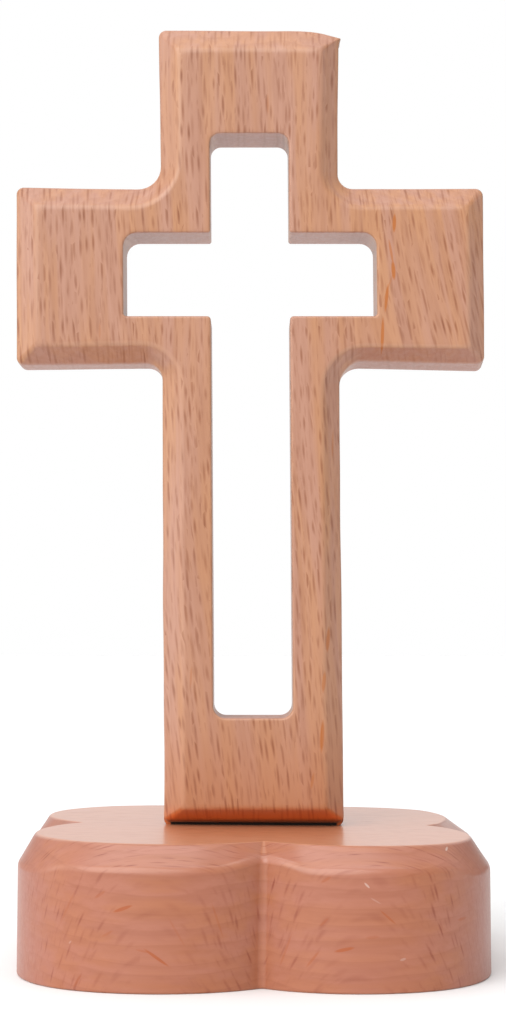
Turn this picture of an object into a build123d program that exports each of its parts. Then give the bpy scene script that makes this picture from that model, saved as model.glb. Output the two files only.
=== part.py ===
from build123d import *
import math
import os

# Table-top standing cross in solid beech: an openwork cross fixed upright on a four-lobed base.
#
# Millimetres, +Z up, +X to the right, front towards -Y. The origin is at the middle of the
# underside. The cross is routed from one board. It stands on the base, held by a wood screw from
# below and by two glued dowels that stop it turning.

# ---- driving dimensions -------------------------------------------------------------------
TOTAL_HEIGHT = 200.0
BASE_HEIGHT = 28.0

# cross
ARM_SPAN = 101.0              # tip to tip across the arms
LIMB_WIDTH = 38.2             # width of the upright, and height of the arms, at the crossing
LIMB_FLARE = 0.3              # each side of a limb stands this much further out at its end
ARM_CENTRE_ABOVE_FOOT = 118.2
CROSS_THICKNESS = 16.0
CROSS_CHAMFER = 4.1           # 45 degree bevel round the outline, front and back
ARMPIT_RADIUS = 5.0           # outline fillet where an arm meets the upright
TIP_RADIUS = 1.6              # outline rounding at the ends of the limbs
SANDED_EDGE = 0.45            # softness of the bevel ridges
WINDOW_EDGE = 0.5             # softness of the window's rims

# cross-shaped window
WINDOW_SLOT = 17.0            # width of the upright slot
WINDOW_ARM_SLOT = 18.0        # height of the cross slot
WINDOW_MARGIN = 23.3          # wood left at each end of the cross
WINDOW_TOP_RADIUS = 2.3
WINDOW_BOTTOM_RADIUS = 2.6
WINDOW_SHOULDER_RADIUS = 3.0  # upper corners of the cross slot
WINDOW_ELBOW_RADIUS = 0.7     # lower corners of the cross slot
WINDOW_NIB_RADIUS = 0.5       # the four corners that point into the window

# four-lobed base
BASE_SPAN = 97.4
LOBE_RADIUS = 29.9
GROOVE_RADIUS = 1.6           # outline fillet in the groove between two lobes
BASE_BEVEL_IN = 4.4           # top bevel, measured on the top face
BASE_BEVEL_DOWN = 5.0         # top bevel, measured down the wall
GROOVE_BEVEL_DOWN = 2.8       # the bevel is shallower where it crosses a groove
GROOVE_BEVEL_REACH = 10.0     # and is at full depth again this far to the side of the groove
BASE_FOOT_RADIUS = 0.8

# hidden joint between cross and base
DOWEL_DIAMETER = 5.0
DOWEL_LENGTH = 25.0
DOWEL_SPREAD = 22.0           # between the two dowel axes
DOWEL_FLUTES = 10
FLUTE_RADIUS = 0.35
DOWEL_END_CHAMFER = 0.6
GLUE_GAP = 0.03               # round a dowel
GLUE_WELL = 1.0               # at each end of a dowel
SCREW_LENGTH = 35.0
SCREW_MAJOR = 4.0
SCREW_CORE = 2.6
SCREW_SHANK = 2.9
SCREW_HEAD = 7.8
SCREW_PITCH = 1.8
SCREW_THREADED = 21.0
SCREW_TIP = 4.0
THREAD_CREST = 0.12           # width of the thread at its crest
THREAD_ROOT = 0.7             # and at its root
HEAD_RIM = 0.5                # flat rim round the countersunk head
RECESS_SPAN = 4.6             # cross recess
RECESS_WIDTH = 1.0
RECESS_DEPTH = 2.2
RECESS_TAPER = 8
CLEARANCE_HOLE = 4.4          # through the base
COUNTERBORE_DIAMETER = 9.0
COUNTERBORE_DEPTH = 8.5
PILOT_HOLE = 2.7              # in the foot of the cross
PILOT_DEPTH = 16.5

# ---- worked-out places --------------------------------------------------------------------
ARM_Z = BASE_HEIGHT + ARM_CENTRE_ABOVE_FOOT
HALF_LIMB = LIMB_WIDTH / 2
HALF_SPAN = ARM_SPAN / 2
LOBE_OFFSET = BASE_SPAN / 2 - LOBE_RADIUS
TOP_LOBE_RADIUS = LOBE_RADIUS - BASE_BEVEL_IN
HEAD_Z = COUNTERBORE_DEPTH - HEAD_RIM       # face of the screw's head
SCREW_TIP_Z = HEAD_Z + SCREW_LENGTH
DOWEL_LOW_Z = BASE_HEIGHT - DOWEL_LENGTH / 2
DOWEL_HIGH_Z = BASE_HEIGHT + DOWEL_LENGTH / 2
DOWEL_X = DOWEL_SPREAD / 2
STAND_ON_Z = (Align.CENTER, Align.CENTER, Align.MIN)


def rod(diameter, z_low, z_high, x=0.0):
    return Pos(x, 0, z_low) * Cylinder(diameter / 2, z_high - z_low, align=STAND_ON_Z)


def taper(low_diameter, high_diameter, z_low, z_high):
    return Pos(0, 0, z_low) * Cone(low_diameter / 2, high_diameter / 2, z_high - z_low,
                                   align=STAND_ON_Z)


def rounded_face(corners):
    """A face in the XZ plane from (x, z, radius) corners."""
    outline = make_face(Polyline(*[(x, z) for x, z, _ in corners], close=True))
    for x, z, radius in corners:
        if radius:
            corner = outline.vertices().sort_by_distance(Vector(x, z, 0))[0]
            outline = fillet(corner, radius)
    return Plane.XZ * outline


def mirrored(right_side):
    """Closes a symmetric outline from the corners of its right half, listed from top to bottom."""
    return right_side + [(-x, z, radius) for x, z, radius in reversed(right_side)]


def through(face, thickness):
    """The face, which lies in the XZ plane, thickened evenly to both sides."""
    return extrude(face, amount=thickness / 2, both=True)


def edges_at(part, y):
    """Edges of the part that lie wholly in the plane at that y."""
    return part.edges().filter_by(
        lambda e: all(abs(e.position_at(u).Y - y) < 1e-4 for u in (0, 0.3, 0.7, 1)))


def cross_outline(tip_radius):
    end = HALF_LIMB + LIMB_FLARE
    return rounded_face(mirrored([
        (end, TOTAL_HEIGHT, tip_radius),
        (HALF_LIMB, ARM_Z + HALF_LIMB, ARMPIT_RADIUS),
        (HALF_SPAN, ARM_Z + end, tip_radius),
        (HALF_SPAN, ARM_Z - end, tip_radius),
        (HALF_LIMB, ARM_Z - HALF_LIMB, ARMPIT_RADIUS),
        (end, BASE_HEIGHT, tip_radius),
    ]))


def window_outline():
    slot = WINDOW_SLOT / 2
    reach = HALF_SPAN - WINDOW_MARGIN
    upper = ARM_Z + WINDOW_ARM_SLOT / 2
    lower = ARM_Z - WINDOW_ARM_SLOT / 2
    return rounded_face(mirrored([
        (slot, TOTAL_HEIGHT - WINDOW_MARGIN, WINDOW_TOP_RADIUS),
        (slot, upper, WINDOW_NIB_RADIUS),
        (reach, upper, WINDOW_SHOULDER_RADIUS),
        (reach, lower, WINDOW_ELBOW_RADIUS),
        (slot, lower, WINDOW_NIB_RADIUS),
        (slot, BASE_HEIGHT + WINDOW_MARGIN, WINDOW_BOTTOM_RADIUS),
    ]))


def dowel_holes():
    """Both dowel holes, with a well for spare glue beyond each end."""
    return [rod(DOWEL_DIAMETER + 2 * GLUE_GAP, DOWEL_LOW_Z - GLUE_WELL, DOWEL_HIGH_Z + GLUE_WELL, x)
            for x in (-DOWEL_X, DOWEL_X)]


def cross_frame():
    faces = (-CROSS_THICKNESS / 2, CROSS_THICKNESS / 2)
    body = through(cross_outline(0), CROSS_THICKNESS)
    for y in faces:
        body = chamfer(edges_at(body, y), CROSS_CHAMFER)
    body &= through(cross_outline(TIP_RADIUS), CROSS_THICKNESS)
    body = fillet([e for y in faces for e in edges_at(body, y)], SANDED_EDGE)

    outer_edges = [e.center() for y in faces for e in edges_at(body, y)]
    body -= through(window_outline(), CROSS_THICKNESS + 2)
    rims = [e for y in faces for e in edges_at(body, y)
            if all((e.center() - old).length > 1e-3 for old in outer_edges)]
    body = fillet(rims, WINDOW_EDGE)

    body -= dowel_holes()
    body -= rod(PILOT_HOLE, BASE_HEIGHT, BASE_HEIGHT + PILOT_DEPTH)
    return body


def reach_of_lobes(radius, sideways):
    """How far out two lobes of that radius reach, that far to the side of the groove."""
    return LOBE_OFFSET + math.sqrt(radius**2 - (LOBE_OFFSET - sideways)**2)


def groove_wedge():
    """Wood under the shallow bevel that crosses the front groove: two planes in a faint valley."""
    tip = Vector(0, -reach_of_lobes(TOP_LOBE_RADIUS, 0), BASE_HEIGHT)
    at_groove = Vector(0, -reach_of_lobes(LOBE_RADIUS, 0), BASE_HEIGHT - GROOVE_BEVEL_DOWN)
    run_out = Vector(GROOVE_BEVEL_REACH, -reach_of_lobes(LOBE_RADIUS, GROOVE_BEVEL_REACH),
                     BASE_HEIGHT - BASE_BEVEL_DOWN)
    normal = (run_out - tip).cross(at_groove - tip)
    block = Pos(0, -LOBE_OFFSET, 0) * Box(
        GROOVE_BEVEL_REACH + 2, LOBE_RADIUS + 2, BASE_HEIGHT,
        align=(Align.MIN, Align.MAX, Align.MIN))
    half = split(block, bisect_by=Plane(origin=tip, z_dir=normal),
                 keep=Keep.BOTTOM if normal.Z > 0 else Keep.TOP)
    return half + mirror(half, about=Plane.YZ)


def base_block():
    centres = [(x, y) for x in (-LOBE_OFFSET, LOBE_OFFSET) for y in (-LOBE_OFFSET, LOBE_OFFSET)]
    outline = Rectangle(2 * LOBE_OFFSET, 2 * LOBE_OFFSET)
    for x, y in centres:
        outline += Pos(x, y) * Circle(LOBE_RADIUS)
    notch = reach_of_lobes(LOBE_RADIUS, 0)
    for x, y in ((notch, 0), (-notch, 0), (0, notch), (0, -notch)):
        outline = fillet(outline.vertices().sort_by_distance(Vector(x, y, 0))[0], GROOVE_RADIUS)
    walls = extrude(outline, amount=BASE_HEIGHT)

    spread = BASE_BEVEL_IN / BASE_BEVEL_DOWN * BASE_HEIGHT
    roof = Box(2 * LOBE_OFFSET, 2 * LOBE_OFFSET, BASE_HEIGHT, align=STAND_ON_Z)
    for x, y in centres:
        roof += Pos(x, y, 0) * Cone(TOP_LOBE_RADIUS + spread, TOP_LOBE_RADIUS, BASE_HEIGHT,
                                    align=STAND_ON_Z)
    for quarter in range(4):
        roof += Rot(0, 0, 90 * quarter) * groove_wedge()
    block = walls & roof
    foot = block.edges().filter_by(lambda e: e.bounding_box().max.Z < 1e-3)
    block = fillet(foot, BASE_FOOT_RADIUS)

    block -= dowel_holes()
    block -= rod(COUNTERBORE_DIAMETER, 0, COUNTERBORE_DEPTH)
    block -= rod(CLEARANCE_HOLE, 0, BASE_HEIGHT)
    seat_depth = (SCREW_HEAD - CLEARANCE_HOLE) / 2
    block -= taper(SCREW_HEAD, CLEARANCE_HOLE, COUNTERBORE_DEPTH, COUNTERBORE_DEPTH + seat_depth)
    return block


def fluted_dowel(x):
    pin = rod(DOWEL_DIAMETER, DOWEL_LOW_Z, DOWEL_HIGH_Z, x)
    pin = chamfer(pin.edges().filter_by(GeomType.CIRCLE), DOWEL_END_CHAMFER)
    for i in range(DOWEL_FLUTES):
        turn = 2 * math.pi * i / DOWEL_FLUTES
        flute = Pos(math.cos(turn) * DOWEL_DIAMETER / 2, math.sin(turn) * DOWEL_DIAMETER / 2, 0)
        pin -= flute * rod(2 * FLUTE_RADIUS, DOWEL_LOW_Z, DOWEL_HIGH_Z, x)
    return pin


def wood_screw():
    """Countersunk wood screw, head down, with a cross recess and a coarse thread."""
    cone_top = COUNTERBORE_DEPTH + (SCREW_HEAD - SCREW_SHANK) / 2
    thread_low = SCREW_TIP_Z - SCREW_THREADED
    tip_low = SCREW_TIP_Z - SCREW_TIP
    screw = rod(SCREW_HEAD, HEAD_Z, COUNTERBORE_DEPTH)
    screw += taper(SCREW_HEAD, SCREW_SHANK, COUNTERBORE_DEPTH, cone_top)
    screw += rod(SCREW_SHANK, cone_top, thread_low)
    screw += rod(SCREW_CORE, thread_low, tip_low)
    screw += taper(SCREW_CORE, 0.3, tip_low, SCREW_TIP_Z)

    root = SCREW_CORE / 2 - 0.1
    rise = SCREW_MAJOR / 2 - root
    helix = Pos(0, 0, thread_low) * Helix(SCREW_PITCH, tip_low - thread_low, root)
    ridge = Plane(origin=helix @ 0, x_dir=(1, 0, 0), z_dir=helix % 0) * make_face(Polyline(
        (0, -THREAD_ROOT / 2), (rise, -THREAD_CREST / 2), (rise, THREAD_CREST / 2),
        (0, THREAD_ROOT / 2), close=True))
    screw += sweep(ridge, path=helix, is_frenet=True)

    slot = Rectangle(RECESS_SPAN, RECESS_WIDTH) + Rectangle(RECESS_WIDTH, RECESS_SPAN)
    screw -= Pos(0, 0, HEAD_Z) * extrude(slot, amount=RECESS_DEPTH, taper=RECESS_TAPER)
    return screw


PARTS = {
    "cross_frame": cross_frame,
    "base": base_block,
    "dowel_left": lambda: fluted_dowel(-DOWEL_X),
    "dowel_right": lambda: fluted_dowel(DOWEL_X),
    "wood_screw": wood_screw,
}

os.makedirs("parts", exist_ok=True)
for node, make in PARTS.items():
    part = make()
    print(node, part.is_valid, round(part.volume, 1), len(part.solids()), len(part.faces()))
    export_step(part, f"parts/{node}.step")
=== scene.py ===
import math

import bmesh
import bpy
from mathutils import Matrix, Vector, noise


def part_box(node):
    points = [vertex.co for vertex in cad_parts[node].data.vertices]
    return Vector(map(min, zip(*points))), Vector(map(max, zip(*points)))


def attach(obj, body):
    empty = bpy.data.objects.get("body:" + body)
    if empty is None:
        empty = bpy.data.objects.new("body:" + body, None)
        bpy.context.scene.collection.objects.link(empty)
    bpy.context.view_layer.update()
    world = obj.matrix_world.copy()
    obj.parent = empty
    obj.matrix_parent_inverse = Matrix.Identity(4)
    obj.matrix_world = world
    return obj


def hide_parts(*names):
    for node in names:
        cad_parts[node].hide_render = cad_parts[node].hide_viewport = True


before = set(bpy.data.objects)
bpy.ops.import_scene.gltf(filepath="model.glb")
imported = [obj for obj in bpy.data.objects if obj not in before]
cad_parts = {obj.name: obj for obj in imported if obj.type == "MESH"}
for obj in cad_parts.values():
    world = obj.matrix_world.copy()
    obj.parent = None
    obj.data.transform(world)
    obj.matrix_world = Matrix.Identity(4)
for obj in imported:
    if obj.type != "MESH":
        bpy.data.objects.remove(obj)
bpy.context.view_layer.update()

# A table-top cross in lacquered beech on a four-lobed base. The builders below work in
# millimetres in the frame's own axes (+Z up, front towards -Y); make_object() turns them to metres.
METRES = 0.001


def box_mm(node):
    low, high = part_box(node)
    return Vector(low) / METRES, Vector(high) / METRES


cross_high = box_mm("cross_frame")[1]
base_high = box_mm("base")[1]
screw_low, screw_high = box_mm("wood_screw")
dowel_low, dowel_high = box_mm("dowel_right")

# ---- sizes that the frame's boxes don't give ------------------------------------------------
TOP = cross_high.z
FOOT = base_high.z
HALF_SPAN = cross_high.x
HALF_THICK = cross_high.y
HALF_LIMB = 19.1            # the limbs at the crossing
LIMB_FLARE = 0.4            # each side stands this much further out at a limb's end
ARM_Z = FOOT + 118.2        # middle of the arms
CHAMFER = 4.1
ARMPIT_RADIUS = 5.0
TIP_RADIUS = 1.6
ARRIS_SOFTNESS = 1.3        # sanded radius where the bevel meets a side
RIDGE_SOFTNESS = 2.0        # sanded radius where the bevel meets the face
MITRE_SOFTNESS = 1.0        # smallest radius at the corners of the bevel's ridge
TOUCHING = 0.001            # two heights nearer than this are the same
CROSS_LEAN = 0.007          # the glued-up cross leans this much to the left per unit of height
# How wide the hand-sanded bevel is on each edge, clockwise from the top right corner as seen from the
# front. The back has the same widths.
BEVEL_WIDTHS = (3.85, 4.6, 3.65, 3.8, 3.85, 4.1, 4.05, 4.25, 4.5, 4.6, 4.05, 5.0)
SANDING_WAVER = 0.13        # how far the sanded lines wander
WAVER_LENGTH = 17           # the wandering's scale along the board and through it
WAVER_DEPTH = 3
SECOND_NOISE = Vector((31.4, 15.9, 26.5))   # where the up-and-down wandering reads its noise
TOP_DIP = 1.6               # the top edge is sanded down by this much at its right corner
TOP_DIP_START = 6.0
TOP_DIP_SHARPNESS = 3.5     # the power it falls by towards that corner
TOP_DIP_REACH = 8.0         # the dip fades out this far below the top
EAR = 0.65                  # the sharp lip left standing at that corner
EAR_HEIGHT = 0.6
EAR_WIDTH = 1.5             # it rises within this much of the corner
# Corners of the cross whose radius came out different, counted clockwise from the top right one.
ODD_RADII = {0: 0.3, 1: 3.2, 4: 4.4, 7: 3.2}
ARM_DROOP = 0.25            # the right arm sags by this much
UNDER_ARM_SLANTS = (0.35, 0.95)     # the front arris under the left and right arm is sanded up
FOOT_GAP = 0.85             # the joint line under the foot, and its slope to the right
FOOT_SLOPE = 0.004
FOOT_REACH = 5.0
FOOT_GAP_DEPTH = 1.0        # the joint line is open this far in
FOOT_GAP_STEP = 0.3         # and closes within this
SECTION_STEPS = 5           # points round each sanded edge
CAP_MARGIN = 1.2            # the flat strip between the bevel's ridge and the filled face

WINDOW_HALF_SLOT = 8.5
WINDOW_HALF_ARM_SLOT = 9.0
WINDOW_MARGIN = 23.3
WINDOW_RIM = 0.5            # sanded radius of the window's edge
WINDOW_CAP_MARGIN = 0.5
WINDOW_SECTION_STEPS = 4
SHARPEST_CORNER = 0.05      # no corner of an outline is rounded less than this
OUTLINE_SPACING = 1.6       # the distance between points along the straight edges
RIDGE_SWEEP = 1.25          # how much wider than the outline the bevel's ridge turns in an armpit

BASE_HALF = base_high.x
LOBE_RADIUS = 29.9
LOBE_OFFSET = BASE_HALF - LOBE_RADIUS
TOP_LOBE_RADIUS = LOBE_RADIUS - 4.4
GROOVE_RADIUS = 1.6
NOTCH_RADIUS = 0.4          # the groove's point on the top face
TOP_NOTCH_REACH = 37.0      # the grooves' points stay this far from the middle
BASE_BEVEL_DOWN = 5.0
GROOVE_BEVEL_DOWN = 2.8
GROOVE_BEVEL_REACH = 11.0
BASE_FOOT_RADIUS = 0.5
BASE_RIDGE_SOFTNESS = 1.5   # where the bevel meets the top face
BASE_ARRIS_SOFTNESS = 2.4   # where the bevel meets the wall
BASE_WAVER = 0.35           # how far the bevel's lower line wanders up and down
BASE_WAVER_LENGTH = 9
GROOVE_SHIFT = 1.45         # the front groove was cut off centre, and leans a little to the right
GROOVE_LEAN = 0.5
BASE_TAPER = 0.004          # the block narrows by this share towards its top
LOBE_SQUARENESS = 1.2       # the lobes' outer corners stand out this much from a true circle
SQUARENESS_SHARPNESS = 6    # the power it falls by away from a corner
SIDE_MARGIN = 4             # the hand work on the sides is full this far in from the outside
# How much narrower the bevel is at the left and the right side, near the front and near the back.
SIDE_BEVEL_LOSSES = ((0.8, 1.2), (0.0, -1.3))
SIDE_BEVEL_DROPS = (0.9, -0.7)      # it is this much deeper at the sides, front and back,
FRONT_BEVEL_GAIN = 0.6              # and this much wider and shallower at the front and back
FRONT_BEVEL_LIFT = 0.5
SIDE_GROOVE_FILL = 1.0      # the side grooves run out this much near the top
SIDE_GROOVE_WIDTH = 8.0
TOP_TILT = 0.008            # the top face falls this much to the right
TOP_RISE = 0.25
LOBE_STEPS = 56
GROOVE_STEPS = 8
BASE_FOOT_MARGIN = 1.6      # the flat strips round the filled underside and the filled top
BASE_TOP_MARGIN = 1.0

SHARP_ANGLE = math.radians(50)
DOWEL_X = (dowel_low.x + dowel_high.x) / 2
DOWEL_HOLE_RADIUS = 2.53
GLUE_WELL = 1.0             # each dowel hole goes this much beyond its dowel's end
PILOT_RADIUS = 1.35
PILOT_TOP = screw_high.z + 1.5
SCREW_HEAD_RADIUS = 3.9
COUNTERBORE_RADIUS = 4.5
COUNTERBORE_TOP = screw_low.z + 0.5
CLEARANCE_RADIUS = 2.2


# ---- outlines and sections ----------------------------------------------------------------
def arc_points(corner, before, after, radius, steps):
    """Rounds a corner between the directions before and after. All are 2-D vectors."""
    turn = math.atan2(before.x * after.y - before.y * after.x, before.dot(after))
    if abs(turn) < 1e-6:
        return [corner.copy() for _ in range(steps + 1)]
    tangent = radius * math.tan(abs(turn) / 2)
    start = corner - before * tangent
    side = Vector((-before.y, before.x)) * math.copysign(1, turn)
    centre = start + side * radius
    spoke = start - centre
    return [centre + Matrix.Rotation(turn * k / steps, 2) @ spoke for k in range(steps + 1)]


def rounded_path(corners, steps):
    """An open path through (x, y, radius) corners; the first and last stay sharp.

    Gives (x, y, edge), where edge goes from 0 at the ends of a rounding to 1 at its middle.
    """
    places = [Vector(c[:2]) for c in corners]
    path = [(*places[0], 0.0)]
    for i in range(1, len(places) - 1):
        before = (places[i] - places[i - 1]).normalized()
        after = (places[i + 1] - places[i]).normalized()
        if not corners[i][2]:
            path.append((*places[i], 0.0))
            continue
        arc = arc_points(places[i], before, after, corners[i][2], steps)
        path += [(*point, math.sin(math.pi * k / steps)) for k, point in enumerate(arc)]
    return path + [(*places[-1], 0.0)]


def both_sides(half):
    """A section from the front face to the back face, from its half (inset, depth, edge)."""
    front = [(inset, -depth, edge) for inset, depth, edge in reversed(half)]
    return front + [(inset, depth, edge) for inset, depth, edge in half[1:]]


def inset_outline(corners, insets, softest, arc_steps=8):
    """A closed outline through (x, z, radius) corners, clockwise from the front, moved inwards.

    insets holds one distance for each edge, from its first corner on. Every inset gives the same
    number of points, so outlines can be joined ring to ring.
    """
    places = [Vector(c[:2]) for c in corners]
    count = len(places)
    arcs = []
    for i, place in enumerate(places):
        before = (place - places[i - 1]).normalized()
        after = (places[(i + 1) % count] - place).normalized()
        in_before, in_after = (Vector((d.y, -d.x)) for d in (before, after))
        from_before, from_after = insets[i - 1], insets[i]
        slant = in_before.dot(in_after)
        moved = place + ((from_before - slant * from_after) * in_before
                         + (from_after - slant * from_before) * in_after) / (1 - slant**2)
        inset = (from_before + from_after) / 2
        convex = before.x * after.y - before.y * after.x < 0
        radius = corners[i][2] - inset if convex else corners[i][2] + inset * RIDGE_SWEEP
        radius = max(radius, softest)
        arcs.append(arc_points(moved, before, after, radius, arc_steps))
    outline = []
    for i, arc in enumerate(arcs):
        outline += arc
        start, end = arc[-1], arcs[(i + 1) % count][0]
        length = (places[(i + 1) % count] - places[i]).length
        pieces = max(1, round(length / OUTLINE_SPACING))
        outline += [start.lerp(end, k / pieces) for k in range(1, pieces)]
    return outline


def mirrored(right_side):
    return right_side + [(-x, z, radius) for x, z, radius in reversed(right_side)]


CROSS_OUTLINE = mirrored([
    (HALF_LIMB + LIMB_FLARE, TOP, TIP_RADIUS),
    (HALF_LIMB, ARM_Z + HALF_LIMB, ARMPIT_RADIUS),
    (HALF_SPAN, ARM_Z + HALF_LIMB + LIMB_FLARE, TIP_RADIUS),
    (HALF_SPAN, ARM_Z - HALF_LIMB - LIMB_FLARE, TIP_RADIUS),
    (HALF_LIMB, ARM_Z - HALF_LIMB, ARMPIT_RADIUS),
    (HALF_LIMB + 0.1, FOOT, TIP_RADIUS),
])
for corner, radius in ODD_RADII.items():
    CROSS_OUTLINE[corner] = (*CROSS_OUTLINE[corner][:2], radius)
WINDOW_OUTLINE = mirrored([
    (WINDOW_HALF_SLOT, TOP - WINDOW_MARGIN, 2.3),
    (WINDOW_HALF_SLOT, ARM_Z + WINDOW_HALF_ARM_SLOT, 0.55),
    (HALF_SPAN - WINDOW_MARGIN, ARM_Z + WINDOW_HALF_ARM_SLOT, 3.0),
    (HALF_SPAN - WINDOW_MARGIN, ARM_Z - WINDOW_HALF_ARM_SLOT, 0.7),
    (WINDOW_HALF_SLOT, ARM_Z - WINDOW_HALF_ARM_SLOT, 0.8),
    (WINDOW_HALF_SLOT, FOOT + WINDOW_MARGIN, 2.6),
])


# ---- mesh helpers -------------------------------------------------------------------------
def new_mesh():
    """An empty mesh whose points can be marked: see ring()."""
    mesh = bmesh.new()
    for mark_name in ("edge", "joint"):
        mesh.verts.layers.float.new(mark_name)
    return mesh


def ring(mesh, points, **marks):
    """New points, marked from 0 to 1: edge on a sanded edge, joint inside a joint line."""
    verts = [mesh.verts.new(p) for p in points]
    for mark_name, value in marks.items():
        layer = mesh.verts.layers.float[mark_name]
        for vert in verts:
            vert[layer] = value
    return verts


def join_rings(mesh, rings):
    for lower, upper in zip(rings, rings[1:]):
        for i in range(len(lower)):
            j = (i + 1) % len(lower)
            mesh.faces.new((lower[i], lower[j], upper[j], upper[i]))


def cap(mesh, *loops, rim=()):
    """Fills a flat face inside the rim's edges or the first loop, round the other loops.

    triangle_fill can overlap two triangles for an unlucky outline. The outlines here are the same on every
    run. After a change of size, look for edges without two faces.
    """
    edges = list(rim)
    for loop in loops:
        for i, vert in enumerate(loop):
            other = loop[(i + 1) % len(loop)]
            edges.append(mesh.edges.get((vert, other)) or mesh.edges.new((vert, other)))
    bmesh.ops.triangle_fill(mesh, use_beauty=True, edges=edges)


def circle(x, z, radius, sides=48):
    return [Vector((x + radius * math.cos(2 * math.pi * i / sides),
                    radius * math.sin(2 * math.pi * i / sides), z)) for i in range(sides)]


def blind_hole(mesh, x, radius, mouth, end):
    """Adds the wall and the end of an upright hole, and gives the loop of its mouth."""
    rings = [ring(mesh, circle(x, z, radius, 32)) for z in (mouth, end)]
    join_rings(mesh, rings)
    cap(mesh, rings[1])
    return rings[0]


def make_object(name, mesh, material):
    bmesh.ops.scale(mesh, vec=(METRES,) * 3, verts=mesh.verts)
    bmesh.ops.recalc_face_normals(mesh, faces=mesh.faces)
    for edge in mesh.edges:
        edge.smooth = edge.calc_face_angle(0.0) < SHARP_ANGLE
    data = bpy.data.meshes.new(name)
    mesh.to_mesh(data)
    mesh.free()
    data.polygons.foreach_set("use_smooth", [True] * len(data.polygons))
    data.materials.append(material)
    piece = bpy.data.objects.new(name, data)
    bpy.context.scene.collection.objects.link(piece)
    weighted = piece.modifiers.new("face_weighted_normals", "WEIGHTED_NORMAL")
    weighted.keep_sharp = True
    return piece


def ease(value, low, high):
    """A smooth step from 0 to 1 as value goes from low to high."""
    part = min(max((value - low) / (high - low), 0.0), 1.0)
    return part * part * (3 - 2 * part)


# ---- the cross ----------------------------------------------------------------------------
def sand_by_hand(place):
    """Moves a point of the cross's outside as hand sanding and the glued joint left it."""
    # noise.noise is the same on every run. noise.noise_vector isn't: it is seeded by the clock.
    spot = Vector((place.x / WAVER_LENGTH, place.y / WAVER_DEPTH, place.z / WAVER_LENGTH))
    sideways, upwards = noise.noise(spot), noise.noise(spot + SECOND_NOISE)
    place.x += SANDING_WAVER * sideways
    place.z += SANDING_WAVER * upwards * ease(place.z, FOOT, FOOT + FOOT_REACH)
    near_top = ease(place.z, TOP - TOP_DIP_REACH, TOP)
    beyond = max((place.x - TOP_DIP_START) / (HALF_LIMB - TOP_DIP_START), 0.0)
    place.z -= TOP_DIP * near_top * beyond**TOP_DIP_SHARPNESS
    lip = math.exp(-((place.z - TOP + TOP_DIP) / EAR_HEIGHT)**2)
    place.x += EAR * lip * ease(place.x, HALF_LIMB - EAR_WIDTH, HALF_LIMB)
    place.z -= ARM_DROOP * ease(place.x, HALF_LIMB, HALF_SPAN)
    side = HALF_THICK - CHAMFER
    under_arm = ease(ARM_Z - place.z, HALF_LIMB - CHAMFER, HALF_LIMB)
    on_arm = ease(abs(place.x), HALF_LIMB, HALF_LIMB + ARMPIT_RADIUS)
    forward = min(max((side - place.y) / (2 * side), 0.0), 1.0)
    place.z += UNDER_ARM_SLANTS[place.x > 0] * under_arm * on_arm * forward
    near_foot = 1 - ease(place.z, FOOT, FOOT + FOOT_REACH)
    gap_end = side - FOOT_GAP_DEPTH
    open_joint = ease(abs(place.y), gap_end - FOOT_GAP_STEP, gap_end)
    place.z += (FOOT_GAP - FOOT_SLOPE * place.x) * near_foot * open_joint


def build_cross(material):
    mesh = new_mesh()
    side = HALF_THICK - CHAMFER
    half = rounded_path([
        (0.0, 0.0, 0),
        (0.0, side - FOOT_GAP_DEPTH - FOOT_GAP_STEP, 0),
        (0.0, side - FOOT_GAP_DEPTH, 0),
        (0.0, side, ARRIS_SOFTNESS),
        (CHAMFER, HALF_THICK, RIDGE_SOFTNESS),
        (CHAMFER + CAP_MARGIN, HALF_THICK, 0),
    ], SECTION_STEPS)
    outer = []
    for inset, depth, edge in both_sides(half):
        insets = [inset / CHAMFER * width for width in BEVEL_WIDTHS]
        softest = MITRE_SOFTNESS * inset / CHAMFER + SHARPEST_CORNER
        outline = inset_outline(CROSS_OUTLINE, insets, softest)
        outer.append(ring(mesh, [Vector((p.x, depth, p.y)) for p in outline], edge=edge))
    join_rings(mesh, outer)
    # Points inside the open joint line under the foot are marked, for a near-black painted shadow there.
    joint = mesh.verts.layers.float["joint"]
    for vert in mesh.verts:
        in_joint = vert.co.z < FOOT + TOUCHING and abs(vert.co.y) < side - FOOT_GAP_DEPTH / 2
        vert[joint] = float(in_joint)
        sand_by_hand(vert.co)

    half = rounded_path([
        (0.0, 0.0, 0),
        (0.0, HALF_THICK, WINDOW_RIM),
        (-WINDOW_RIM - WINDOW_CAP_MARGIN, HALF_THICK, 0),
    ], WINDOW_SECTION_STEPS)
    window = []
    for inset, depth, edge in both_sides(half):
        outline = inset_outline(WINDOW_OUTLINE, [inset] * len(WINDOW_OUTLINE), SHARPEST_CORNER)
        window.append(ring(mesh, [Vector((p.x, depth, p.y)) for p in outline], edge=edge))
    join_rings(mesh, window)
    cap(mesh, outer[0], window[0])
    cap(mesh, outer[-1], window[-1])

    flat_foot = [face for face in mesh.faces
                 if all(abs(vert.co.z - FOOT) < TOUCHING for vert in face.verts)]
    bmesh.ops.delete(mesh, geom=flat_foot, context="FACES")
    foot_rim = [edge for edge in mesh.edges if edge.is_boundary]
    holes = [blind_hole(mesh, 0.0, PILOT_RADIUS, FOOT, PILOT_TOP)]
    for x in (-DOWEL_X, DOWEL_X):
        holes.append(blind_hole(mesh, x, DOWEL_HOLE_RADIUS, FOOT, dowel_high.z + GLUE_WELL))
    cap(mesh, *holes, rim=foot_rim)
    for vert in mesh.verts:
        vert.co.x -= CROSS_LEAN * (vert.co.z - FOOT)
    return make_object("cross_body", mesh, material)


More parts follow.
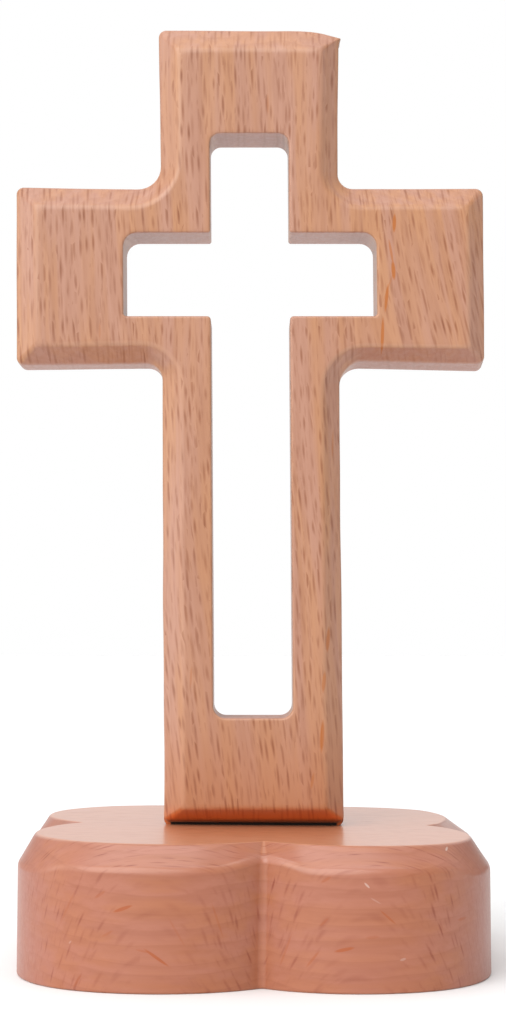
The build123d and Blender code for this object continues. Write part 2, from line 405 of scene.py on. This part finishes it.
# ---- the base -----------------------------------------------------------------------------
def lobe_stations():
    """(place on the wall, place on the top ridge, bevel depth) all round the base."""
    def groove_fillet(radius, notch):
        """How far out the centre of a groove's rounding is, and the angle to it from a lobe."""
        beyond_lobe = math.sqrt((radius + notch)**2 - LOBE_OFFSET**2)
        return LOBE_OFFSET + beyond_lobe, math.atan2(LOBE_OFFSET, beyond_lobe)

    curves = [(LOBE_RADIUS, GROOVE_RADIUS), (TOP_LOBE_RADIUS, NOTCH_RADIUS)]
    curves = [(radius, notch, *groove_fillet(radius, notch)) for radius, notch in curves]
    lobe_centre = Vector((LOBE_OFFSET, -LOBE_OFFSET))
    half_wall = (math.pi / 4 + curves[0][3]) * LOBE_RADIUS
    stations = []
    for quarter in range(4):
        turn = Matrix.Rotation(quarter * math.pi / 2, 2)
        for k in range(LOBE_STEPS + 1):
            part = 2 * k / LOBE_STEPS - 1
            places = []
            for radius, notch, centre, lean in curves:
                around = part * (math.pi / 4 + lean) - math.pi / 4
                places.append(lobe_centre + radius * Vector((math.cos(around), math.sin(around))))
            deeper = ease((1 - abs(part)) * half_wall, 0, GROOVE_BEVEL_REACH)
            down = GROOVE_BEVEL_DOWN + (BASE_BEVEL_DOWN - GROOVE_BEVEL_DOWN) * deeper
            stations.append((*(turn @ place for place in places), down))
        for k in range(1, GROOVE_STEPS):
            places = []
            for radius, notch, centre, lean in curves:
                around = lean * (1 - 2 * k / GROOVE_STEPS)
                places.append(Vector((centre - notch * math.cos(around), -notch * math.sin(around))))
            stations.append((*(turn @ place for place in places), GROOVE_BEVEL_DOWN))
    return stations


def shape_by_hand(place):
    """Moves a point of the base's outside from true circles to the block as it was cut and sanded."""
    height = place.z / FOOT
    place.xy *= 1 - BASE_TAPER * height
    corner = place.xy.normalized()
    place.xy += corner * LOBE_SQUARENESS * (2 * abs(corner.x * corner.y))**SQUARENESS_SHARPNESS
    rise = ease(place.z, FOOT - BASE_BEVEL_DOWN, FOOT)
    sides, ends = (ease(abs(value), TOP_NOTCH_REACH, BASE_HALF - SIDE_MARGIN) for value in place.xy)
    filled = SIDE_GROOVE_FILL * math.exp(-(place.y / SIDE_GROOVE_WIDTH)**2)
    towards_back = ease(place.y, -LOBE_OFFSET / 2, LOBE_OFFSET / 2)
    front_loss, back_loss = SIDE_BEVEL_LOSSES[place.x > 0]
    loss = front_loss + (back_loss - front_loss) * towards_back
    place.x += math.copysign(1, place.x) * rise * (loss * sides + filled)
    place.y -= math.copysign(FRONT_BEVEL_GAIN * rise * ends, place.y)
    arris = FOOT - BASE_BEVEL_DOWN
    near_arris = ease(place.z, arris / 2, arris) * (1 - ease(place.z, arris, FOOT))
    wander = noise.noise(Vector((place.x / BASE_WAVER_LENGTH, place.y / BASE_WAVER_LENGTH, 0)))
    front_drop, back_drop = SIDE_BEVEL_DROPS
    drop = (front_drop + (back_drop - front_drop) * towards_back) * sides
    place.z += (FRONT_BEVEL_LIFT * ends - drop + BASE_WAVER * wander) * near_arris
    towards_groove = ease(-place.y, 0, LOBE_OFFSET + LOBE_RADIUS / 2) * (1 - (place.x / BASE_HALF)**2)
    place.x += (GROOVE_SHIFT + GROOVE_LEAN * height) * towards_groove


def build_base(material):
    mesh = new_mesh()
    columns = []
    for wall, top, down in lobe_stations():
        inward = top - wall
        length = inward.length
        inward.normalize()
        section = rounded_path([
            (BASE_FOOT_MARGIN, 0.0, 0),
            (0.0, 0.0, BASE_FOOT_RADIUS),
            (0.0, FOOT - down, BASE_ARRIS_SOFTNESS),
            (length, FOOT, BASE_RIDGE_SOFTNESS),
            (length + BASE_TOP_MARGIN, FOOT, 0),
        ], SECTION_STEPS)
        columns.append([Vector((*(wall + inward * x), z)) for x, z, _ in section])
    rings = [ring(mesh, [column[k] for column in columns], edge=section[k][2])
             for k in range(len(section))]
    join_rings(mesh, rings)
    for vert in mesh.verts:
        shape_by_hand(vert.co)

    bore = [ring(mesh, circle(0, z, radius)) for z, radius in (
        (0.0, COUNTERBORE_RADIUS), (COUNTERBORE_TOP, COUNTERBORE_RADIUS),
        (COUNTERBORE_TOP, SCREW_HEAD_RADIUS),
        (COUNTERBORE_TOP + SCREW_HEAD_RADIUS - CLEARANCE_RADIUS, CLEARANCE_RADIUS),
        (FOOT, CLEARANCE_RADIUS))]
    join_rings(mesh, bore)
    dowel_holes = [blind_hole(mesh, x, DOWEL_HOLE_RADIUS, FOOT, dowel_low.z - GLUE_WELL)
                   for x in (-DOWEL_X, DOWEL_X)]
    cap(mesh, rings[0], bore[0])
    cap(mesh, rings[-1], bore[-1], *dowel_holes)
    for vert in mesh.verts:
        height = ease(vert.co.z, 0, FOOT)
        vert.co.z += (TOP_RISE - TOP_TILT * vert.co.x) * height
    return make_object("base_block", mesh, material)


# ---- materials ------------------------------------------------------------------------------
class Nodes:
    """A node tree, with short calls: a number or a socket can go into any input."""

    def __init__(self, tree):
        self.tree = tree

    def node(self, kind, settings=None, **inputs):
        node = self.tree.nodes.new("ShaderNode" + kind)
        for key, value in (settings or {}).items():
            setattr(node, key, value)
        for key, value in inputs.items():
            self.feed(node.inputs[key.replace("_", " ")], value)
        return node

    def feed(self, socket, value):
        if isinstance(value, bpy.types.NodeSocket):
            self.tree.links.new(value, socket)
        elif hasattr(socket.default_value, "__len__") and len(socket.default_value) == 4:
            socket.default_value = (*value, 1)
        else:
            socket.default_value = value

    def math(self, operation, *values, clamp=False):
        node = self.tree.nodes.new("ShaderNodeMath")
        node.operation, node.use_clamp = operation, clamp
        for socket, value in zip(node.inputs, values):
            self.feed(socket, value)
        return node.outputs[0]

    def vector(self, operation, *values):
        node = self.tree.nodes.new("ShaderNodeVectorMath")
        node.operation = operation
        for socket, value in zip(node.inputs, values):
            self.feed(socket, value)
        return node.outputs[0]

    def dot(self, a, b):
        node = self.tree.nodes.new("ShaderNodeVectorMath")
        node.operation = "DOT_PRODUCT"
        self.feed(node.inputs[0], a)
        self.feed(node.inputs[1], b)
        return node.outputs["Value"]

    def split(self, vector):
        return self.node("SeparateXYZ", Vector=vector).outputs

    def combine(self, x, y, z):
        return self.node("CombineXYZ", X=x, Y=y, Z=z).outputs[0]

    def step(self, value, low, high, out_low=0.0, out_high=1.0):
        """A smooth step from out_low to out_high as value goes from low to high."""
        return self.node("MapRange", {"interpolation_type": "SMOOTHSTEP"}, Value=value, From_Min=low,
                         From_Max=high, To_Min=out_low, To_Max=out_high).outputs[0]

    def mix(self, factor, a, b, blend="MIX"):
        node = self.tree.nodes.new("ShaderNodeMix")
        node.data_type, node.blend_type = "RGBA", blend
        self.feed(node.inputs[0], factor)
        self.feed(node.inputs[6], a)
        self.feed(node.inputs[7], b)
        return node.outputs[2]

    def noise(self, vector, detail=2.0, roughness=0.5):
        return self.node("TexNoise", Vector=vector, Scale=1.0, Detail=detail,
                         Roughness=roughness).outputs

    def sum(self, *values):
        total = values[0]
        for value in values[1:]:
            total = self.math("ADD", total, value)
        return total


class Shader(Nodes):
    """A material's nodes."""

    def __init__(self, name):
        self.material = bpy.data.materials.new(name)
        self.material.use_nodes = True
        super().__init__(self.material.node_tree)
        self.surface = self.tree.nodes["Principled BSDF"]

    def place_mm(self):
        place = self.vector("SCALE", self.node("TexCoord").outputs["Object"])
        place.node.inputs["Scale"].default_value = 1 / METRES
        return place

    def finish(self, colour, roughness, height, depth, **settings):
        """depth is how many millimetres a height of 1 stands for."""
        bump = self.node("Bump", Strength=1.0, Distance=depth * METRES, Height=height)
        self.feed(self.surface.inputs["Base Color"], colour)
        self.feed(self.surface.inputs["Roughness"], roughness)
        self.feed(self.surface.inputs["Normal"], bump.outputs[0])
        for key, value in settings.items():
            self.feed(self.surface.inputs[key.replace("_", " ")], value)
        return self.material


MARK_LENGTHS = (0.9, 0.5)       # a fleck is 0.5 to 1.4 times as long as its half size says
MARK_STRENGTHS = (0.7, 0.3)     # and its strength is 0.3 to 1
MARK_FIRMNESS = 1.7             # how firm the outline of a listed streak is


def dashes(shader, grain, cell, half, share, seed):
    """Spindle-shaped marks along the fibres, one in a share of the cells. All are (T, R, L) in mm."""
    lattice = shader.vector("DIVIDE", shader.vector("ADD", grain, (seed, seed * 2, seed * 3)), cell)
    voronoi = shader.node("TexVoronoi", {"feature": "F1", "voronoi_dimensions": "3D"},
                          Vector=lattice, Scale=1.0, Randomness=0.95)
    offset = shader.vector("SUBTRACT", lattice, voronoi.outputs["Position"])
    chance, stretch, shade = shader.split(voronoi.outputs["Color"])
    stretch = shader.math("MULTIPLY_ADD", stretch, *MARK_LENGTHS)
    offset = shader.vector("MULTIPLY", offset, tuple(c / h for c, h in zip(cell, half)))
    offset = shader.vector("DIVIDE", offset, shader.combine(1.0, 1.0, stretch))
    body = shader.math("SUBTRACT", 1.0, shader.dot(offset, offset), clamp=True)
    body = shader.math("POWER", body, 2.0)
    present = shader.math("LESS_THAN", chance, share)
    strength = shader.math("MULTIPLY_ADD", shade, *MARK_STRENGTHS)
    return shader.math("MULTIPLY", shader.math("MULTIPLY", body, present), strength)


def mark(shader, place, x, z, length, width, degrees, strength):
    """One spindle-shaped streak at (x, z), the same from front to back, turned up from +X."""
    offset = shader.vector("MULTIPLY", shader.vector("SUBTRACT", place, (x, 0, z)), (1, 0, 1))
    angle = math.radians(degrees)
    along = shader.math("DIVIDE", shader.dot(offset, (math.cos(angle), 0, math.sin(angle))), length / 2)
    across = shader.math("DIVIDE", shader.dot(offset, (-math.sin(angle), 0, math.cos(angle))), width / 2)
    along, across = (shader.math("POWER", value, 2.0) for value in (along, across))
    body = shader.math("SUBTRACT", 1.0, shader.math("ADD", along, across))
    body = shader.math("MULTIPLY", body, MARK_FIRMNESS, clamp=True)
    return shader.math("MULTIPLY", body, strength)


# How finely each noise varies: steps for each mm across the rays, along the rays and along the fibres,
# or along x, y and z for the last three.
WANDER_SCALE = (1 / 26, 1 / 26, 1 / 60)
RING_SCALE = (0.10, 0.45, 0.02)
FIBRE_SCALE = (2.6, 2.6, 0.09)
BAND_SCALE = (0.26, 0.26, 0.012)
STRIPE_SCALE = (0.8, 0.8, 0.03)
CLOUD_SCALE = (0.045, 0.045, 0.045)
MOTTLE_SCALE = (0.9, 0.6, 0.9)
UNEVEN_SCALE = (0.09, 0.09, 0.07)
FAINT_SIZE = 0.62               # the faint flecks' size next to the plain ones'
PORE_CELL = (0.36, 0.36, 2.6)
PORE_HALF = (0.09, 0.09, 1.1)
# Near-black painted shadow in and just above the open joint line under the foot.
JOINT_SHADOW = (0.012, 0.005, 0.003)
SPECK = (0.8, 0.76, 0.70)       # the pale flecks on the base
BUMP_DEPTH = 0.02               # mm for a height of 1
COAT_ROUGHNESS = 0.22


def beech(name, axes, looks, lean=None, marks=(), specks=()):
    """Steamed beech as a solid, so that each face shows its own cut of the same wood.

    axes says which of x, y, z runs across the rays (T), along the rays (R) and along the fibres (L).
    lean(shader, xyz) gives how far the fibres have wandered sideways, in mm.
    """
    shader = Shader(name)
    place = shader.place_mm()
    xyz = dict(zip("xyz", shader.split(place)))
    t, r, l = (xyz[axis] for axis in axes)
    if lean:
        t = shader.math("SUBTRACT", t, lean(shader, xyz))
    tilt = math.radians(looks["ray_tilt"])
    straight = shader.combine(
        shader.sum(shader.math("MULTIPLY", t, math.cos(tilt)), shader.math("MULTIPLY", r, math.sin(tilt))),
        shader.sum(shader.math("MULTIPLY", r, math.cos(tilt)), shader.math("MULTIPLY", t, -math.sin(tilt))),
        l)
    wander = shader.noise(shader.vector("MULTIPLY", straight, WANDER_SCALE), detail=1.5)[1]
    wander = shader.vector("SUBTRACT", wander, (0.5, 0.5, 0.5))
    wander = shader.vector("MULTIPLY", wander, looks["wander"])
    seed = looks["seed"]
    grain = shader.vector("ADD", shader.vector("ADD", straight, wander), (seed, seed, seed))
    t, r, l = shader.split(grain)

    # growth rings: a slow darkening that ends in a fine late-wood line
    bow = shader.math("POWER", shader.math("SUBTRACT", t, seed), 2.0)
    bow = shader.math("DIVIDE", bow, looks["ring_bow"])
    unevenness = shader.noise(shader.vector("MULTIPLY", grain, RING_SCALE))[0]
    phase = shader.math("FRACT", shader.sum(
        shader.math("DIVIDE", shader.math("ADD", r, bow), looks["ring_width"]),
        shader.math("MULTIPLY", unevenness, 1.6), 40.0))
    rings = shader.math("MULTIPLY", shader.step(phase, 0.1, 0.90), shader.step(phase, 1.0, 0.90))
    ring_lines = shader.math("MULTIPLY", shader.step(phase, 0.80, 0.90), shader.step(phase, 1.0, 0.93))

    flecks = dashes(shader, grain, looks["fleck_cell"], looks["fleck_half"], looks["fleck_share"], 3.1)
    faint_flecks = dashes(shader, grain, [c * FAINT_SIZE for c in looks["fleck_cell"]],
                          [h * FAINT_SIZE for h in looks["fleck_half"]], 0.6, 7.7)
    pores = dashes(shader, grain, PORE_CELL, PORE_HALF, 0.75, 1.3)
    fibres = shader.noise(shader.vector("MULTIPLY", grain, FIBRE_SCALE), detail=3.0, roughness=0.6)[0]
    bands = shader.noise(shader.vector("MULTIPLY", grain, BAND_SCALE), detail=2.0)[0]
    stripes = shader.noise(shader.vector("MULTIPLY", grain, STRIPE_SCALE), detail=2.0)[0]
    clouds = shader.noise(shader.vector("MULTIPLY", place, CLOUD_SCALE), detail=2.0)[0]

    tan, pink, deep = looks["tan"], looks["pink"], looks["deep"]
    colour = shader.mix(shader.step(bands, 0.36, 0.64), tan, pink)
    colour = shader.mix(shader.step(clouds, 0.35, 0.70, 0.0, 0.35), colour, pink)
    colour = shader.mix(shader.step(stripes, 0.40, 0.75, 0.0, 0.30), colour, deep)
    colour = shader.mix(shader.math("MULTIPLY", rings, looks["ring_strength"]), colour, deep)
    colour = shader.mix(shader.math("MULTIPLY", ring_lines, looks["ring_line"]), colour, deep)
    colour = shader.mix(shader.step(fibres, 0.30, 0.70, 0.13, 0.0), colour, deep)
    colour = shader.mix(shader.math("MULTIPLY", pores, 0.12), colour, deep)
    if looks["low_strength"]:
        low = shader.step(xyz["z"], *looks["low_fades"], looks["low_strength"], 0.0)
        colour = shader.mix(low, colour, looks["low"])

    # end grain is duller, greyer and mottled
    surface_normal = shader.node("NewGeometry").outputs["Normal"]
    normal = dict(zip("xyz", shader.split(surface_normal)))
    end_grain = shader.step(shader.math("ABSOLUTE", normal[axes[2]]), 0.55, 1.0)
    across_rays = {axes[0]: math.cos(tilt), axes[1]: math.sin(tilt), axes[2]: 0.0}
    facing = shader.dot(surface_normal, tuple(across_rays[axis] for axis in "xyz"))
    edge_on = shader.math("MULTIPLY_ADD", shader.math("POWER", facing, 8.0), -0.85, 1.1)
    mottle = shader.noise(shader.vector("MULTIPLY", place, MOTTLE_SCALE), detail=4.0, roughness=0.7)[0]
    colour = shader.mix(shader.math("MULTIPLY", end_grain, 0.75), colour, looks["end"])
    colour = shader.mix(shader.math("MULTIPLY", end_grain, shader.step(mottle, 0.40, 0.66, 0.0, 0.42)),
                        colour, looks["end_light"])
    # Upward faces are mixed towards the top colour: painted light from above.
    if looks["top"]:
        colour = shader.mix(shader.step(normal["z"], 0.85, 0.98, 0.0, 0.65), colour, looks["top"])
    if looks["foot"]:
        # The lowest few mm of the cross, most of all its downward faces, take the foot colour: painted warm
        # bounce light from the base, deepening into painted shade.
        painted_foot_bounce = shader.math("MULTIPLY", shader.step(xyz["z"], *looks["foot_fades"], 1.0, 0.0),
                             shader.step(normal["z"], -0.1, -0.6, 0.4, 1.0))
        colour = shader.mix(painted_foot_bounce, colour, looks["foot"])
        # Downward faces just above the joint line get a near-black painted shadow.
        painted_joint_shadow = shader.math("MULTIPLY", shader.step(xyz["z"], *looks["joint_shadow_fades"], 0.8, 0.0),
                           shader.step(normal["z"], -0.3, -0.6))
        colour = shader.mix(painted_joint_shadow, colour, JOINT_SHADOW)
    edge_on = shader.math("MULTIPLY", edge_on, shader.math("MULTIPLY_ADD", end_grain, -0.75, 1.0))
    faint_flecks = shader.math("MULTIPLY", shader.math("MULTIPLY", faint_flecks, edge_on), 0.5)
    flecks = shader.math("MULTIPLY", flecks, edge_on, clamp=True)
    for dark in (faint_flecks, flecks):
        colour = shader.mix(dark, colour, looks["fleck"], "MULTIPLY")
    for *position, strength in marks:
        colour = shader.mix(mark(shader, place, *position, strength), colour, looks["mineral"])
    edge = shader.node("Attribute", {"attribute_name": "edge"}).outputs["Fac"]
    # Sanded edges are lightened in patches: partly real wear, partly a painted highlight along the rounded
    # ridges.
    wear_and_highlight = shader.math("MULTIPLY", edge, shader.step(clouds, 0.3, 0.6, 0.04, 0.16))
    colour = shader.mix(wear_and_highlight, colour, looks["wear_and_highlight"])
    for *position, strength in specks:
        colour = shader.mix(mark(shader, place, *position, strength), colour, SPECK)
    joint = shader.node("Attribute", {"attribute_name": "joint"}).outputs["Fac"]
    # The marked inside of the joint line is painted near-black: painted shadow.
    colour = shader.mix(joint, colour, JOINT_SHADOW)

    uneven = shader.noise(shader.vector("MULTIPLY", place, UNEVEN_SCALE), detail=1.0)[0]
    ripple = shader.noise(shader.vector("MULTIPLY", grain, looks["ripple_scale"]), detail=2.0)[0]
    ripple = shader.math("MULTIPLY", ripple, shader.step(normal["z"], 0.75, 0.97, 1.0, 0.0))
    height = shader.sum(
        shader.math("MULTIPLY", uneven, 4.0), shader.math("MULTIPLY", ripple, looks["ripple"]),
        shader.math("MULTIPLY", fibres, 0.12),
        shader.math("MULTIPLY", pores, -0.25), shader.math("MULTIPLY", flecks, -0.25),
        shader.math("MULTIPLY", shader.math("MULTIPLY", mottle, end_grain), 3.0))
    roughness = shader.sum(
        looks["roughness"], shader.math("MULTIPLY", fibres, 0.08), shader.math("MULTIPLY", flecks, 0.06),
        shader.math("MULTIPLY", edge, 0.04), shader.math("MULTIPLY", end_grain, 0.08),
        shader.math("MULTIPLY", joint, 0.5))
    coat = looks["coat"]
    if looks["coat_above"] != coat:
        coat = shader.step(normal["z"], 0.3, 0.7, coat, looks["coat_above"])
    return shader.finish(colour, roughness, height, BUMP_DEPTH, IOR=looks["ior"], Coat_Weight=coat,
                         Coat_Roughness=COAT_ROUGHNESS)


FOOT_LEAN = 0.12                # the fibres' slope at the foot, and what the right arm adds
ARM_LEAN = 0.15
ARM_LEAN_REACH = 14.0


def cross_lean(shader, xyz):
    """The fibres lean to the right as they go down, more so near the foot and on the right arm."""
    below = shader.math("SUBTRACT", TOP, xyz["z"])
    upright = shader.math("MULTIPLY", shader.math("POWER", below, 2.0), FOOT_LEAN / (2 * (TOP - FOOT)))
    below = shader.math("SUBTRACT", ARM_Z, xyz["z"])
    on_arm = shader.step(xyz["x"], HALF_LIMB, HALF_LIMB + ARM_LEAN_REACH, 0.0, ARM_LEAN)
    return shader.math("ADD", upright, shader.math("MULTIPLY", below, on_arm))


# Colours are linear. Cells and half sizes are (T, R, L) in mm. The fades are heights in mm. coat is the
# lacquer on upright and downward faces, and coat_above that on upward ones.
CROSS_LOOKS = {
    "seed": 11.0, "ray_tilt": 0.0, "wander": (5.0, 7.0, 0.0),
    "ring_width": 2.3, "ring_strength": 0.20, "ring_line": 0.0, "ring_bow": 150.0,
    "fleck_cell": (1.45, 26.0, 6.0), "fleck_half": (0.42, 50.0, 3.6), "fleck_share": 0.80,
    "ripple": 0.5, "ripple_scale": (0.35, 0.35, 0.12), "ior": 1.5,
    "tan": (0.440, 0.204, 0.094), "pink": (0.412, 0.204, 0.134), "deep": (0.290, 0.112, 0.052),
    "fleck": (0.64, 0.46, 0.31), "mineral": (0.37, 0.105, 0.012),
    # The sanded edges' colour below is partly real wear, partly a painted highlight along the rounded
    # ridges.
    "end": (0.360, 0.153, 0.106), "end_light": (0.43, 0.26, 0.215), "wear_and_highlight": (0.62, 0.38, 0.25),
    # The foot colour is painted warm bounce light from the base, deepening into painted shade, on the
    # lowest few mm of the cross.
    "foot": (0.56, 0.112, 0.018), "foot_fades": (FOOT + 2.0, FOOT + 5.6),
    # These fades bound the near-black painted shadow on downward faces just above the joint line.
    "joint_shadow_fades": (FOOT + FOOT_GAP, FOOT + FOOT_GAP + 1.3),
    "low": (0.400, 0.150, 0.058), "low_fades": (FOOT, FOOT + 30.0), "low_strength": 0.75,
    "roughness": 0.38, "coat": 0.25, "coat_above": 0.05, "top": None,
}
BASE_LOOKS = {
    "seed": 57.0, "ray_tilt": 11.0, "wander": (4.0, 1.3, 0.0),
    "ring_width": 3.1, "ring_strength": 0.22, "ring_line": 0.20, "ring_bow": 900.0,
    "fleck_cell": (1.15, 4.2, 5.4), "fleck_half": (0.22, 2.6, 3.4), "fleck_share": 1.0,
    "ripple": 2.0, "ripple_scale": (0.5, 0.5, 0.22), "ior": 1.55,
    "tan": (0.358, 0.113, 0.042), "pink": (0.356, 0.118, 0.064), "deep": (0.268, 0.069, 0.023),
    "fleck": (0.61, 0.28, 0.07), "mineral": (0.32, 0.062, 0.003),
    # The sanded edges' colour below is partly real wear, partly a painted highlight along the rounded
    # ridges.
    "end": (0.310, 0.094, 0.056), "end_light": (0.37, 0.15, 0.10), "wear_and_highlight": (0.46, 0.22, 0.14),
    "foot": None, "low_strength": 0.0,
    # top lightens upward faces: painted light from above.
    "roughness": 0.40, "coat": 0.40, "coat_above": 0.60, "top": (0.53, 0.215, 0.103),
}
DOWEL_LOOKS = dict(CROSS_LOOKS, seed=83.0, roughness=0.55, coat=0.0, coat_above=0.0, foot=None,
                   low_strength=0.0, fleck_cell=(1.2, 9.0, 4.0), fleck_half=(0.14, 14.0, 1.5))

# x, z, length, width, degrees up from +X, strength
CROSS_MARKS = [
    (30.1, 157.2, 4.5, 0.9, 88, 1.0), (29.4, 151.0, 6.0, 0.6, 100, 0.7), (29.9, 147.0, 4.6, 1.0, 94, 1.0),
    (28.4, 141.0, 6.5, 0.8, 84, 1.0), (27.5, 133.0, 8.5, 0.8, 88, 1.0), (29.0, 144.0, 9.0, 0.4, 70, 0.4),
    (22.6, 153.2, 7.0, 1.2, 150, 0.30), (16.9, 110.0, 7.0, 0.5, 88, 0.45), (15.8, 68.0, 6.0, 0.9, 86, 0.9),
    (14.9, 59.0, 5.0, 0.9, 85, 0.9), (14.5, 47.5, 7.5, 1.0, 87, 1.0), (12.4, 38.0, 4.0, 0.7, 80, 0.6),
    (-13.4, 60.0, 5.0, 0.5, 88, 0.4), (3.0, 183.0, 5.0, 0.5, 90, 0.3), (-33.0, 134.0, 4.0, 0.5, 90, 0.3),
]
BASE_MARKS = [
    (-25.5, 16.4, 4.4, 0.8, 20, 1.0), (-18.9, 7.1, 6.4, 0.7, -35, 1.0), (-21.4, 8.3, 3.5, 0.5, -12, 0.5),
    (17.5, 8.6, 4.4, 0.8, 12, 1.0), (11.4, 6.6, 4.5, 0.6, 52, 0.6), (26.0, 14.8, 4.6, 0.5, -42, 0.7),
    (6.2, 8.0, 8.0, 0.5, 70, 0.45), (-36.6, 16.0, 8.0, 0.5, 66, 0.30), (-7.1, 14.0, 8.0, 0.5, -72, 0.40),
    (-30.0, 19.0, 3.0, 0.7, 35, 0.45), (14.0, 22.0, 2.6, 0.7, 30, 0.55), (13.6, 13.8, 2.6, 0.6, 45, 0.5),
    (-34.5, 2.0, 3.6, 0.6, 60, 0.45), (-15.0, 12.0, 7.0, 0.5, -60, 0.3), (-28.5, 11.5, 3.0, 0.6, 30, 0.4),
    (41.0, 13.5, 2.0, 0.7, 10, 0.6), (23.0, 11.0, 3.0, 0.7, 5, 0.35),
]
BASE_SPECKS = [
    (21.9, 21.0, 1.6, 0.45, -45, 0.24), (28.9, 6.6, 1.4, 0.6, 15, 0.12), (38.2, 27.0, 0.9, 0.5, 60, 0.3),
    (23.6, 18.0, 2.6, 0.35, -30, 0.08), (-36.0, 9.4, 0.9, 0.4, 50, 0.10),
]

beech_cross = beech("beech_cross", "xyz", CROSS_LOOKS, lean=cross_lean, marks=CROSS_MARKS)
beech_base = beech("beech_base", "yzx", BASE_LOOKS, marks=BASE_MARKS, specks=BASE_SPECKS)
beech_dowel = beech("beech_dowel", "xyz", DOWEL_LOOKS)


def zinc_plated_steel():
    """Bright zinc over steel: a faint blue and straw tint, brushed by the driver and the threads."""
    shader = Shader("zinc_plated_steel")
    place = shader.place_mm()
    blotches = shader.noise(shader.vector("MULTIPLY", place, (0.5, 0.5, 0.3)), detail=3.0)[0]
    grit = shader.noise(shader.vector("MULTIPLY", place, (6.0, 6.0, 6.0)), detail=3.0, roughness=0.7)[0]
    blue_tint, straw_tint, worn_grey = (0.62, 0.65, 0.70), (0.70, 0.66, 0.56), (0.42, 0.41, 0.39)
    colour = shader.mix(shader.step(blotches, 0.35, 0.65), blue_tint, straw_tint)
    colour = shader.mix(shader.step(grit, 0.55, 0.80, 0.0, 0.5), colour, worn_grey)
    roughness = shader.sum(
        0.24, shader.math("MULTIPLY", grit, 0.16), shader.math("MULTIPLY", blotches, 0.1))
    return shader.finish(colour, roughness, grit, 0.01, Metallic=1.0)


steel = zinc_plated_steel()
for node, material in (("dowel_left", beech_dowel), ("dowel_right", beech_dowel), ("wood_screw", steel)):
    for material_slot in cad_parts[node].material_slots:
        material_slot.material = material

cross = build_cross(beech_cross)
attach(cross, "root")
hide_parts("cross_frame")
base = build_base(beech_base)
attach(base, "root")
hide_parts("base")


# ---- stage, light and camera -----------------------------------------------------------------
FLOOR_REACH = 3.0           # metres, like the lamps' distances and sizes
FLOOR_GREY = (0.78, 0.78, 0.78)
LAMP_DISTANCE = 0.8
KEY_RADIANCE = 0.725
KEY_SPREAD = math.radians(60)
CAMERA_PLACE = (-0.0002, -0.4869, 0.07485)
CAMERA_UP = 2.43            # degrees above level
SENSOR_HEIGHT = 36.0
LENS = 79.0

floor_mesh = bpy.data.meshes.new("floor")
floor_corners = [(x * FLOOR_REACH, y * FLOOR_REACH, 0) for x, y in ((-1, -1), (1, -1), (1, 1), (-1, 1))]
floor_mesh.from_pydata(floor_corners, [], [(0, 1, 2, 3)])
floor = bpy.data.objects.new("floor", floor_mesh)
bpy.context.scene.collection.objects.link(floor)
pale_floor = Shader("pale_floor")
pale_floor.feed(pale_floor.surface.inputs["Base Color"], FLOOR_GREY)
pale_floor.surface.inputs["Roughness"].default_value = 0.8
floor_mesh.materials.append(pale_floor.material)

world = bpy.data.worlds.new("studio")
world.use_nodes = True
sky = Nodes(world.node_tree)
sky_direction = sky.node("TexCoord").outputs["Generated"]
sky_strength = 1.0
# The room is bright to the front left. It is dim to the front right and beside the backdrop. Each
# row is a direction, the cosines between which its fade runs, and the strength at its middle.
ROOM = (
    ((-0.8, -0.6, 0.0), 0.3, 1.0, 1.4),
    ((0.707, -0.707, 0.0), -0.2, 0.95, 0.5),
    ((0.75, 0.66, 0.0), 0.78, 0.97, 0.3),
    ((-0.75, 0.66, 0.0), 0.78, 0.97, 0.5),
)
for towards, start, end, strength in ROOM:
    fade = sky.step(sky.dot(sky_direction, towards), start, end, 1.0, strength)
    sky_strength = sky.math("MULTIPLY", sky_strength, fade)
background = world.node_tree.nodes["Background"]
sky.feed(background.inputs["Strength"], sky_strength)
sky.feed(background.inputs["Color"], (1, 1, 1))
bpy.context.scene.world = world
bpy.context.scene.view_settings.view_transform = "Standard"


def aimed(azimuth, elevation):
    """The direction to a light; azimuth 0 is in front, 90 to the right."""
    around, up = math.radians(azimuth), math.radians(elevation)
    return Vector((math.sin(around) * math.cos(up), -math.cos(around) * math.cos(up), math.sin(up)))


def add_light(name, kind, direction, distance, **settings):
    lamp = bpy.data.lights.new(name, kind)
    for key, value in settings.items():
        setattr(lamp, key, value)
    light = bpy.data.objects.new(name, lamp)
    light.location = direction * distance + Vector((0, 0, TOP / 2 * METRES))
    light.rotation_euler = direction.to_track_quat("Z", "Y").to_euler()
    light.visible_camera = False
    bpy.context.scene.collection.objects.link(light)


def softbox(name, direction, width, height, radiance):
    """A rectangular lamp aimed at the middle of the object."""
    add_light(name, "AREA", direction, LAMP_DISTANCE, shape="RECTANGLE", size=width, size_y=height,
              energy=radiance * math.pi * width * height)


add_light("key_light", "SUN", aimed(-26, 38), 1.0, energy=KEY_RADIANCE * math.pi, angle=KEY_SPREAD)
softbox("left_panel", aimed(-90, 6), 0.22, 0.5, 1.5)
softbox("right_panel", aimed(90, 10), 0.2, 0.4, 1.0)
softbox("top_panel", aimed(-20, 87), 0.9, 0.2, 2.6)

camera_data = bpy.data.cameras.new("camera")
camera_data.sensor_fit = "VERTICAL"
camera_data.sensor_height = SENSOR_HEIGHT
camera_data.lens = LENS
camera = bpy.data.objects.new("camera", camera_data)
camera.location = CAMERA_PLACE
camera.rotation_euler = (math.radians(90 + CAMERA_UP), 0, 0)
bpy.context.scene.collection.objects.link(camera)
bpy.context.scene.camera = camera
